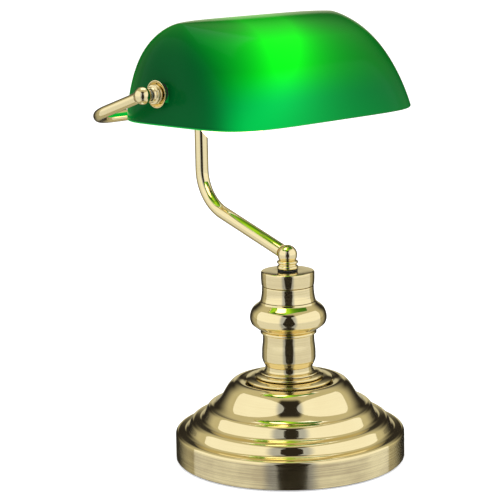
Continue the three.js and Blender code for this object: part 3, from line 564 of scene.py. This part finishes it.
PIVOT_Y, PIVOT_Z = place_of("shade_tilt")[1:]
bow_along = np.array([0, ARM_Y - PIVOT_Y, BOW_Z - PIVOT_Z], float)
bow_along /= np.linalg.norm(bow_along)
bow_end = {side: np.array([side * BOW_X, PIVOT_Y, PIVOT_Z]) for side in (-1, 1)}
tube("bent_bow_tube", bent_path(
    [bow_end[-1] + 5.6 * bow_along, (-BOW_X, ARM_Y, BOW_Z), (BOW_X, ARM_Y, BOW_Z),
     bow_end[1] + 5.6 * bow_along], [BOW_BEND, BOW_BEND]), BOW_RADIUS, BOW_BORE,
     "arm", "polished_brass", polished_brass, "bow_tube")

# ---- Pivots ----
# A hollow stud in each ball passes through a ridged collar, the dished cup, the glass
# between two rubber pads and the harp, and is drawn up by a nut on a spring washer.
def hex_nut(name, half_width, bore, low, high, body, *stands_for, origin, direction):
    """A six-sided nut: its radius is the smaller of the hexagon's and of a cone at each
    face, which gives the curved chamfers of a real one."""
    angle = np.linspace(0, 2 * np.pi, AROUND, endpoint=False)[None]
    height = np.concatenate([[low], np.linspace(low, high, 33), [high]])[:, None]
    depth = np.minimum(height - low, high - height)
    radius = np.minimum(across_flats(angle, half_width), half_width * 0.97 + depth * 1.7)
    radius = np.concatenate([radius, np.full((2, AROUND), bore)])
    radius[0] = radius[len(height) - 1] = bore + EDGE
    along = np.repeat(np.concatenate([height, [[high - EDGE]], [[low + EDGE]]]), AROUND)
    points, faces = grid_faces(
        around_axis(radius, along.reshape(radius.shape), origin, direction), True)
    return make_piece(name, points, faces, body, "steel", zinc_steel, *stands_for, crease=25)


turned_across = brass("polished brass across", smooth=0.03, rough=0.085, depth=0.000002,
                      centre=(0, PIVOT_Y, PIVOT_Z), turn=(0, math.pi / 2, 0))
for name, side in (("left", -1), ("right", 1)):
    on_pivot = {"origin": (0, PIVOT_Y, PIVOT_Z), "direction": (side, 0, 0)}
    turned(f"bow_end_ball_{name}", ball_outline(BOW_BALL, 2.0, -0.6), "arm", "polished_brass",
           turned_across, f"bow_ball_{name}", origin=bow_end[side], direction=(side, 0, 0))
    turned(f"hollow_stud_{name}", rounded([
        (2.4, 90, 0.3), (4, 90, 0.4), (4, 123.5, 0.2), (2.4, 123.5, 0.2)]), "arm", "steel",
           zinc_steel, f"pivot_stud_{name}", **on_pivot)
    turned(f"ribbed_collar_{name}", rounded([
        (4.3, 111.6, 0.2), (6.3, 111.6, 0.3), (6.1, 112.3, 0.3), (7.6, 112.7, 0.8),
        (7.6, 114.5, 0.8), (6, 114.9, 0.4), (7.6, 115.3, 0.8), (7.6, 117, 0.8), (5.9, 117.5, 0.5),
        (5.4, 119.3, 0.3), (4.3, 119.3, 0.2)]), "arm", "polished_brass", turned_across,
           f"ridged_collar_{name}", **on_pivot)
    turned(f"dished_cup_{name}", rounded([
        (4.3, 109.8, 0.1), (7.6, 109.8, 0.6), (9.4, 110.6, 0.8), (10.5, 112, 0.8),
        (10.7, 113.3, 0.35), (9.9, 113.3, 0.35), (9.3, 112, 0.8), (8, 111, 0.8),
        (4.3, 110.9, 0.1)]), "shade", "polished_brass", turned_across, f"pivot_cup_{name}",
           **on_pivot)
    turned(f"dished_spring_{name}", rounded([
        (4.3, 96.5, 0.1), (7.6, 97, 0.2), (7.6, 97.7, 0.2), (4.3, 97.2, 0.1)]), "arm", "steel",
           zinc_steel, f"spring_washer_{name}", **on_pivot)
    hex_nut(f"pivot_nut_{name}", 6.5, 4.3, 91.7, 96.2, "arm", f"stud_nut_{name}", **on_pivot)
dress(ivory_sheath, "wire", "arm_wire")
dress(black_rubber, "rubber", "outer_gasket_left", "outer_gasket_right", "inner_gasket_left",
      "inner_gasket_right")

# ---- Glass shade ----
# One pressed trough of glass, open below, coloured green through and polished. The bulb's light
# through its front and back is painted on as a glow of the glass's own; the ends, past the
# bulb's reach, are painted dark.
RIM_Z, RIDGE_Z = [round(corner[2] / MM, 3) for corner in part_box("glass_shade")]
SHADE_LENGTH, SHADE_DEPTH, SHADE_MIDDLE_Y = 110.5, 74.5, 15      # half, half, middle
GLASS, PIVOT_HOLE = 4.0, 6.5
BULB_CENTRE = place_of("bulb_unscrew")


def shade_wall(height, angle, inset):
    """A point of the shade: at each height the plan is a superellipse, squarer at the rim,
    whose ends lean in by 10t + 15t^6 and whose depth falls off as (1 - t^2)^(1/2.3), with t
    the height as a share of the whole. The ridge drops 1.2 mm towards its ends, and inset
    is the wall's thickness on the inside."""
    t = np.clip((height + inset - RIM_Z) / (RIDGE_Z - RIM_Z), 0, 1)
    rise = np.clip((height - RIM_Z) / (RIDGE_Z - inset - RIM_Z), 0, 1)
    length = SHADE_LENGTH - 10 * t - 15 * t ** 6 - inset
    depth = (SHADE_DEPTH - inset) * (1 - rise ** 2) ** (1 / 2.3)
    power = 2 / (5 - 2 * t)
    across = np.sign(np.cos(angle)) * np.abs(np.cos(angle)) ** power
    along = np.sign(np.sin(angle)) * np.abs(np.sin(angle)) ** power
    return np.stack(np.broadcast_arrays(
        length * across, SHADE_MIDDLE_Y + 13 * t + depth * along,
        height - 1.2 * (across * t) ** 6), -1)


def shade_grid(rows=88, columns=360):
    """Rows from the inner ridge down to the rim, round the fire-polished lip, and outside
    back up. Columns crowd towards the corners, where the plan turns fast."""
    turn = np.linspace(0, 2 * np.pi, columns, endpoint=False)
    angle = (turn - 0.11 * np.sin(4 * turn))[None]
    rise = np.sin(np.linspace(np.pi / 2, 0, rows))[:, None]
    start = RIM_Z + GLASS / 2
    inner = shade_wall(start + (RIDGE_Z - GLASS - start) * rise, angle, GLASS)
    outer = shade_wall(start + (RIDGE_Z - start) * rise[::-1], angle, 0.0)
    round_lip = np.linspace(0, np.pi, 9)[1:-1][:, None, None]
    middle, half = (inner[-1] + outer[0]) / 2, (outer[0] - inner[-1]) / 2
    lip = middle - half * np.cos(round_lip) - np.array([0, 0, GLASS / 2]) * np.sin(round_lip)
    return np.concatenate([inner, lip, outer])


def seen_glow(points, normals):
    """How brightly the bulb's light is painted on at each point, as if it showed through: by
    the 1.6th power of 39 mm over a distance to the bulb that counts the length most, but less
    towards the rim, from a middle that leans along with the wall. The painted glow is lost,
    as painted shade, where the wall faces an end, sooner near the ridge than at the rim, and
    fades as it turns up to the ridge."""
    above = points[:, 2] - 325
    below = np.clip(-above, 0, 40)
    middle = -42 + 0.8 * above
    length_counts = 1.3 - 0.012 * below
    away = (points - (0, BULB_CENTRE[1], 305)) * (1.0, 0.6, 0.5)
    distance = np.hypot(length_counts * (away[:, 0] - middle), np.hypot(away[:, 1], away[:, 2]))
    side_on = 1 - np.abs(normals[:, 0]) ** (1.2 + 0.05 * below)
    turned_up = np.clip((normals[:, 2] - 0.8) / 0.2, 0, 1)
    return np.clip((39 / distance) ** 1.6, 0, 1) * side_on * (1 - 0.7 * turned_up)


def shade_glass(name, unlit, glowing, near_rim):
    """Green glass: dark and glossy, with the bulb's glow painted on as light of its own, from
    the unlit colour where none comes through up to the glowing one nearest the bulb, or to
    another near the rim, painted as the pale desk shining through too."""
    material, tree, shader = new_material(name, roughness=0.14)
    shader.inputs["IOR"].default_value = 1.16
    shader.inputs["Specular Tint"].default_value = (0.15, 0.75, 0.62, 1)
    shader.inputs["Emission Strength"].default_value = 1.0
    glow, height, low, full, shown = [tree.nodes.new(f"ShaderNode{kind}") for kind in (
        "Attribute", "SeparateXYZ", "MapRange", "Mix", "Mix")]
    place, clouds, tint, ripple, bump = [tree.nodes.new(f"ShaderNode{kind}") for kind in (
        "TexCoord", "TexNoise", "Mix", "TexNoise", "Bump")]
    glow.attribute_name = "glow"
    low.interpolation_type = "SMOOTHSTEP"
    low.inputs["From Min"].default_value, low.inputs["From Max"].default_value = 0.298, 0.326
    full.data_type = shown.data_type = "RGBA"
    full.inputs["A"].default_value = (*near_rim, 1)
    full.inputs["B"].default_value = (*glowing, 1)
    shown.inputs["A"].default_value = (*unlit, 1)
    clouds.inputs["Scale"].default_value = 14.0
    tint.data_type = "RGBA"
    tint.inputs["A"].default_value = (0.0, 0.040, 0.006, 1)
    tint.inputs["B"].default_value = (0.001, 0.056, 0.010, 1)
    ripple.inputs["Scale"].default_value = 22.0
    bump.inputs["Distance"].default_value = 0.0002
    bump.inputs["Strength"].default_value = 0.3
    wire(tree,
         (place.outputs["Object"], height.inputs["Vector"]),
         (height.outputs["Z"], low.inputs["Value"]), (low.outputs["Result"], full.inputs["Factor"]),
         (glow.outputs["Fac"], shown.inputs["Factor"]), (full.outputs["Result"], shown.inputs["B"]),
         (shown.outputs["Result"], shader.inputs["Emission Color"]),
         (place.outputs["Object"], clouds.inputs["Vector"]),
         (clouds.outputs["Fac"], tint.inputs["Factor"]),
         (tint.outputs["Result"], shader.inputs["Base Color"]),
         (place.outputs["Object"], ripple.inputs["Vector"]),
         (ripple.outputs["Fac"], bump.inputs["Height"]),
         (bump.outputs["Normal"], shader.inputs["Normal"]))
    return material


def drilled(piece, radius):
    """Drills the pivot holes through both ends of a finished piece, along the tilt axis."""
    profile = np.array([(0, -150), (radius, -150), (radius, 150), (0, 150)], float)
    points, faces = grid_faces(around_axis(
        np.repeat(profile[:, :1], 64, 1), np.repeat(profile[:, 1:], 64, 1),
        (0, PIVOT_Y, PIVOT_Z), (1, 0, 0)), False)
    drill = bpy.data.objects.new("drill", closed_mesh("drill", points, faces))
    bpy.context.scene.collection.objects.link(drill)
    cut = piece.modifiers.new("pivot holes", "BOOLEAN")
    cut.operation, cut.object, cut.solver = "DIFFERENCE", drill, "EXACT"
    whole, bit = piece.data, drill.data
    ready = bpy.data.meshes.new_from_object(
        piece.evaluated_get(bpy.context.evaluated_depsgraph_get()))
    piece.modifiers.clear()
    piece.data = ready
    bpy.data.objects.remove(drill)
    bpy.data.meshes.remove(whole)
    bpy.data.meshes.remove(bit)


shade_points, shade_faces = grid_faces(shade_grid())
shade = make_piece("pressed_glass_shade", shade_points, shade_faces, "shade", "green_glass",
                   shade_glass("green glass outside", (0.0, 0.012, 0.003), (0.0, 1.0, 0.0),
                               (0.0, 0.66, 0.085)),
                   "glass_shade", crease=60)
drilled(shade, PIVOT_HOLE)
# The inner wall gets painted light of its own: a warm yellow-green glow that stands for the bulb
# lighting the inside of the shade.
shade.data.materials.append(
    shade_glass("green glass inside", (0.01, 0.08, 0.005), (0.45, 0.85, 0.03), (0.45, 0.85, 0.03)))

# The painted glow of the bulb, as a value at each point of the shade.
shade.data.attributes.new("glow", "FLOAT", "POINT").data.foreach_set("value", seen_glow(
    read_vectors(shade.data.vertices, "co") / MM, read_vectors(shade.data.vertices, "normal")))
shade_inside = (0, 22, 300)       # a point that every face of the inner wall looks at
face_centre, face_normal = [read_vectors(shade.data.polygons, f) for f in ("center", "normal")]
under_shade = (face_normal * (face_centre / MM - shade_inside)).sum(1) < 0
shade.data.polygons.foreach_set("material_index", under_shade.astype(np.int32))

# ---- Harp and bracket ----
# A flat steel strap bent round inside the shade from pivot to pivot. A small bracket
# screwed to it holds the lampholder.
HARP_X, HARP_Y = 99, 62


def strap(name, path, half_thick, half_high, body, *stands_for):
    """A flat strap on edge along a level path: a rounded oblong carried along it."""
    tangent = np.gradient(path, axis=0)
    tangent[0], tangent[-1] = path[1] - path[0], path[-1] - path[-2]
    tangent /= np.linalg.norm(tangent, axis=1, keepdims=True)
    out = np.cross(tangent, (0, 0, 1.0))
    section = rounded([(-half_thick, -half_high, 0.4), (half_thick, -half_high, 0.4),
                       (half_thick, half_high, 0.4), (-half_thick, half_high, 0.4)], 4)
    grid = (path[:, None] + section[None, :, :1] * out[:, None]
            + section[None, :, 1:] * np.array([0, 0, 1.0]))
    ends = [np.repeat(grid[i].mean(0)[None], len(section), 0)[None] for i in (0, -1)]
    points, faces = grid_faces(np.concatenate([ends[0], grid, ends[1]]), False)
    return make_piece(name, points, faces, body, "steel", zinc_steel, *stands_for)


strap("bent_steel_harp", bent_path(
    [(-HARP_X, PIVOT_Y - 9, PIVOT_Z), (-HARP_X, HARP_Y, PIVOT_Z), (HARP_X, HARP_Y, PIVOT_Z),
     (HARP_X, PIVOT_Y - 9, PIVOT_Z)], [24, 24]), 1, 6, "shade", "shade_harp")
dress(zinc_steel, "steel", "holder_bracket", "holder_nipple")
socket_screw("bracket_clamp_screw", [(0, 55.6), (1.6, 55.6), (1.6, 56.4), (3, 56.2), (3.6, 57),
             (3.6, 58.4), (2, 58.4), (2, 64.4), (1.6, 64.8), (0, 64.8)], slice(1, 3), "shade",
             "bracket_screw", origin=(58, 0, PIVOT_Z), direction=(0, 1, 0))

# ---- Lampholder ----
# A brushed brass shell and cap round a ceramic insert, with the screw contact and the
# centre contact. It hangs on a nipple and a nut from the bracket.
HOLDER = (0, *BULB_CENTRE[1:])
on_holder = {"origin": HOLDER, "direction": (1, 0, 0)}
# The holder's brushed copy carries the same painted darker colour.
brushed_and_shaded_across = brass("brushed brass across", **BRUSHED_AND_SHADED, axis="X", centre=HOLDER,
                       turn=(0, math.pi / 2, 0))
turned("lampholder_shell", rounded([
    (17.4, 0, 0.3), (18.8, 0, 0.5), (19.3, 0.9, 0.4), (19, 2.6, 0.5), (19, 34, 0.3),
    (17.4, 34, 0.3)]), "shade", "satin_brass", brushed_and_shaded_across, "holder_shell", **on_holder)
turned("lampholder_cap", rounded([
    (17.4, 34.3, 0.2), (19, 34.3, 0.3), (19, 38.5, 2), (17.4, 43.6, 2), (13.4, 47.7, 2),
    (8.4, 50, 1), (5.2, 50, 0.2), (5.2, 48.4, 0.2), (8, 48.2, 1), (12.6, 46, 1.5),
    (16.2, 42.2, 1.5), (17.4, 38, 1)]), "shade", "satin_brass", brushed_and_shaded_across, "holder_cap",
       **on_holder)
turned("threaded_contact", rounded([
    (13.8, 6, 0.2), (14.8, 6, 0.2), (14.8, 34.4, 0.5), (6, 34.4, 0.2), (6, 33.6, 0.2),
    (13.8, 33.6, 0.5)]), "shade", "polished_brass", turned_across, "screw_contact", **on_holder)
turned("ceramic_insert", rounded([
    (2.2, 36.4, 0.2), (8, 36.4, 0.2), (8, 34.8, 0.2), (15.8, 34.8, 0.4), (15.8, 41, 0.4),
    (2.2, 41, 0.2)]), "shade", "ceramic", white_ceramic, "holder_insert", **on_holder)
turned("sprung_centre_contact", [
    (0, 34.3), (3, 34.3), (3.4, 34.6), (3.2, 35), (1.8, 35.4), (1.8, 43), (0, 43)], "shade",
       "polished_brass", turned_across, "centre_contact", **on_holder)
hex_nut("lampholder_nut", 7, 5.2, 52.6, 56.4, "shade", "nipple_nut", **on_holder)
tube("lampholder_lead", bent_path(
    [(93.7, PIVOT_Y, PIVOT_Z), (78, PIVOT_Y, PIVOT_Z), (78, HOLDER[1], HOLDER[2]),
     (45, HOLDER[1], HOLDER[2])], [8, 8], 14), 1.7, 0.6, "shade", "wire", ivory_sheath,
     "holder_wire", sides=20)

# ---- Bulb ----
# A white globe bulb. Its brass cap is rolled into a thread and cemented to the glass; a
# black glass ring and a soldered tip close its end. The lamp is lit.
BULB_RADIUS = 30.0


def lit_glass():
    """Opal glass, white and softly glowing, a little weaker where it nears the cap."""
    material, tree, shader = new_material("lit opal glass", roughness=0.22)
    place, along = tree.nodes.new("ShaderNodeTexCoord"), tree.nodes.new("ShaderNodeSeparateXYZ")
    fade, light = tree.nodes.new("ShaderNodeMapRange"), tree.nodes.new("ShaderNodeMix")
    fade.inputs["From Min"].default_value, fade.inputs["From Max"].default_value = -0.02, 0.01
    light.data_type = "RGBA"
    light.inputs["A"].default_value = (1.0, 0.74, 0.40, 1)
    light.inputs["B"].default_value = (0.35, 0.22, 0.10, 1)
    shader.inputs["Base Color"].default_value = (0.85, 0.83, 0.78, 1)
    shader.inputs["Emission Strength"].default_value = 2.2
    wire(tree, (place.outputs["Object"], along.inputs["Vector"]),
         (along.outputs["X"], fade.inputs["Value"]), (fade.outputs["Result"], light.inputs["Factor"]),
         (light.outputs["Result"], shader.inputs["Emission Color"]))
    return material


def globe_wall(inset, count=56):
    """A ball that runs out into a neck: an arc of 142 degrees, then an eased neck."""
    angle = np.radians(np.linspace(180, 38, count))
    radius = BULB_RADIUS - inset
    arc = np.stack([radius * np.sin(angle), BULB_CENTRE[0] + radius * np.cos(angle)], 1)
    arc[0, 0] = 0
    neck = bezier(arc[-1], arc[-1] + (-4.4, 3.6), (12.6 - inset, -3), (12.4 - inset, 9), count=20)
    return np.vstack([arc, neck[1:]])


turned("opal_globe", np.vstack([globe_wall(0), globe_wall(1)[::-1]]), "bulb", "opal_glass",
       lit_glass(), "bulb_glass", **on_holder)

THREAD_PITCH, CAP_RADIUS = 3.629, 13.2
cap_rows = np.linspace(6, 24, 90)
angle_round = np.linspace(0, 2 * np.pi, AROUND, endpoint=False)
thread = 0.42 * (1 + np.cos(2 * np.pi * cap_rows[:, None] / THREAD_PITCH - angle_round)) / 2
fade_in = np.clip(np.minimum(cap_rows - 6, 24 - cap_rows) / 1.5, 0, 1)[:, None]
rest_of_cap = np.array([(12.8, 24.9), (10.6, 28), (6, 29.6), (6, 28.8), (10, 27.2), (12, 24.6),
                        (12, 9.6), (12.8, 9.6), (12.8, 3.4), (13.1, 3.4), (13.0, 5.4)])
cap_radius = np.vstack([CAP_RADIUS - 0.42 + thread * fade_in,
                        np.repeat(rest_of_cap[:, :1], AROUND, 1)])
cap_along = np.vstack([np.repeat(cap_rows[:, None], AROUND, 1),
                       np.repeat(rest_of_cap[:, 1:], AROUND, 1)])
cap_points, cap_faces = grid_faces(around_axis(cap_radius, cap_along, HOLDER, (1, 0, 0)), True)
make_piece("rolled_screw_cap", cap_points, cap_faces, "bulb", "polished_brass", turned_across,
           "bulb_screw_cap", crease=50)
turned("black_glass_ring", rounded([
    (3.2, 30, 0.2), (5.8, 30, 0.2), (8.5, 30.5, 0.3), (5.6, 32.6, 0.6), (3.2, 32.6, 0.3)]),
       "bulb_tip", "rubber", black_rubber, "bulb_insulator", **on_holder)
turned("soldered_tip", [(0, 30.6), (2.8, 30.6), (2.8, 33), (4, 33), (4.15, 33.2), (3.6, 33.7),
                        (2.2, 33.95), (0, 34)], "bulb_tip", "steel", zinc_steel, "bulb_contact",
       **on_holder)

# ---- Studio ----
# A pale floor, two wide softboxes beside the camera with a dark gap between them, a softer
# light overhead, and a white surround with a dark band at the back for the brass to mirror.
VIEW_TURN = math.radians(46.154)
CAMERA_BACK, CAMERA_HIGH = 1.420294, 0.454625
CAMERA_DIP, CAMERA_SWING, CAMERA_ROLL = 0.1950083, -0.0220791, -0.0187328
LAMP_MIDDLE = Vector((0, 0, 0.2))


def from_camera_side(angle, distance, height):
    """A place at an angle to the right of the camera's side of the lamp, in degrees."""
    turn = math.radians(angle) - VIEW_TURN - math.pi / 2
    return Vector((distance * math.cos(turn), distance * math.sin(turn), height))


camera_data = bpy.data.cameras.new("camera")
camera_data.sensor_width, camera_data.lens = 36.0, 129.76
camera = bpy.data.objects.new("camera", camera_data)
bpy.context.scene.collection.objects.link(camera)
level = Vector((math.sin(CAMERA_SWING), math.cos(CAMERA_SWING), 0))
aim = (level * math.cos(CAMERA_DIP) - Vector((0, 0, math.sin(CAMERA_DIP)))).normalized()
right = Vector((math.cos(CAMERA_SWING), -math.sin(CAMERA_SWING), 0))
up = right.cross(aim)
rolled_right = math.cos(CAMERA_ROLL) * right + math.sin(CAMERA_ROLL) * up
rolled_up = math.cos(CAMERA_ROLL) * up - math.sin(CAMERA_ROLL) * right
axes = Matrix((rolled_right, rolled_up, -aim)).transposed()
camera.matrix_world = (Matrix.Rotation(-VIEW_TURN, 4, "Z")
                       @ Matrix.Translation((0, -CAMERA_BACK, CAMERA_HIGH)) @ axes.to_4x4())
bpy.context.scene.camera = camera


def softbox(name, angle, distance, height, width, tall, power):
    """A rectangular diffused light that faces the lamp and isn't itself in the picture."""
    light = bpy.data.lights.new(name, "AREA")
    light.shape, light.size, light.size_y = "RECTANGLE", width, tall
    light.energy, light.spread = power, math.pi
    light.color = (0.92, 1.0, 1.25)
    lamp = bpy.data.objects.new(name, light)
    bpy.context.scene.collection.objects.link(lamp)
    place = from_camera_side(angle, distance, height)
    turn = (LAMP_MIDDLE - place).to_track_quat("-Z", "Y")
    lamp.matrix_world = Matrix.Translation(place) @ turn.to_matrix().to_4x4()
    lamp.visible_camera = False


softbox("left softbox", -61, 1.3, 0.66, 3.0, 1.7, 8)
softbox("right softbox", 64.6, 1.3, 0.66, 3.0, 1.7, 8)
softbox("overhead softbox", 180, 0.5, 1.9, 1.2, 1.2, 4)

floor_mesh = bpy.data.meshes.new("studio_floor")
FLOOR_REACH, FLOOR_Z, FLOOR_SIDES = 30, -0.0004, 128
rim = np.linspace(0, 2 * np.pi, FLOOR_SIDES, endpoint=False)
floor_points = np.stack([FLOOR_REACH * np.cos(rim), FLOOR_REACH * np.sin(rim),
                         np.full(FLOOR_SIDES, FLOOR_Z)], 1)
floor_mesh.from_pydata(floor_points.tolist(), [], [list(range(FLOOR_SIDES))])
floor = bpy.data.objects.new("studio_floor", floor_mesh)
bpy.context.scene.collection.objects.link(floor)
floor_finish, floor_tree, floor_shader = new_material("pale floor", roughness=0.6)
floor_shader.inputs["Base Color"].default_value = (0.9, 0.9, 0.9, 1)
floor_shader.inputs["Emission Color"].default_value = (1, 1, 1, 1)
floor_shader.inputs["Emission Strength"].default_value = 0.45
polished = floor_tree.nodes.new("ShaderNodeBsdfGlossy")
polished.inputs["Roughness"].default_value = 0.12
polished.inputs["Color"].default_value = (0.78, 0.78, 0.78, 1)
floor_ray, seen = [floor_tree.nodes.new(f"ShaderNode{kind}") for kind in ("LightPath", "MixShader")]
wire(floor_tree, (floor_ray.outputs["Is Glossy Ray"], seen.inputs["Fac"]),
     (floor_shader.outputs["BSDF"], seen.inputs[1]), (polished.outputs["BSDF"], seen.inputs[2]),
     (seen.outputs["Shader"], floor_tree.nodes["Material Output"].inputs["Surface"]))
floor_mesh.materials.append(floor_finish)

world = bpy.data.worlds.new("studio")
bpy.context.scene.world = world
world.use_nodes = True
sky = world.node_tree
background = sky.nodes["Background"]
sky_ray, way, split, flat, unit, towards = [sky.nodes.new(f"ShaderNode{kind}") for kind in (
    "LightPath", "TexCoord", "SeparateXYZ", "VectorMath", "VectorMath", "VectorMath")]
flat.operation, unit.operation, towards.operation = "MULTIPLY", "NORMALIZE", "DOT_PRODUCT"
flat.inputs[1].default_value = (1, 1, 0)
towards.inputs[1].default_value = from_camera_side(0, 1, 0)


def eased(socket, low, high):
    """One side of a soft step: 0 below low and 1 above high, or the other way round."""
    step = sky.nodes.new("ShaderNodeMapRange")
    step.interpolation_type = "SMOOTHSTEP"
    step.inputs["From Min"].default_value = min(low, high)
    step.inputs["From Max"].default_value = max(low, high)
    if low > high:
        step.inputs["To Min"].default_value, step.inputs["To Max"].default_value = 1, 0
    sky.links.new(socket, step.inputs["Value"])
    return step.outputs["Result"]


def sky_math(operation, *sockets):
    """The result of one Math node."""
    node = sky.nodes.new("ShaderNodeMath")
    node.operation = operation
    wire(sky, *zip(sockets, node.inputs))
    return node.outputs["Value"]


def sky_mix(factor, first, second):
    """A mix of two colours, each a plain colour or a socket."""
    node = sky.nodes.new("ShaderNodeMix")
    node.data_type = "RGBA"
    sky.links.new(factor, node.inputs["Factor"])
    for name, value in (("A", first), ("B", second)):
        if isinstance(value, tuple):
            node.inputs[name].default_value = (*value, 1)
        else:
            sky.links.new(value, node.inputs[name])
    return node.outputs["Result"]


wire(sky, (way.outputs["Generated"], split.inputs["Vector"]),
     (way.outputs["Generated"], flat.inputs[0]), (flat.outputs["Vector"], unit.inputs[0]),
     (unit.outputs["Vector"], towards.inputs[0]))
facing, rising = towards.outputs["Value"], split.outputs["Z"]
dark_gap = sky_math("MULTIPLY", eased(facing, 0.86, 0.95), eased(rising, 0.95, 0.8))
not_behind = sky_math("MAXIMUM", eased(facing, -0.99, -0.95), eased(rising, 0.2, 0.28))
dark_back = sky_math("MULTIPLY", eased(facing, -0.5, -0.9),
                     sky_math("MULTIPLY", not_behind, eased(rising, 0.7, 0.3)))
mirrored = sky_mix(sky_math("MAXIMUM", dark_gap, dark_back), (0.60, 0.56, 0.40), (0.028, 0.024, 0.02))
lit = sky_mix(sky_ray.outputs["Is Diffuse Ray"], mirrored, (1.05, 1.05, 1.05))
shown = sky_mix(sky_ray.outputs["Is Camera Ray"], lit, (1.0, 1.0, 1.0))
wire(sky, (shown, background.inputs["Color"]))
bpy.context.scene.view_settings.view_transform = "Standard"
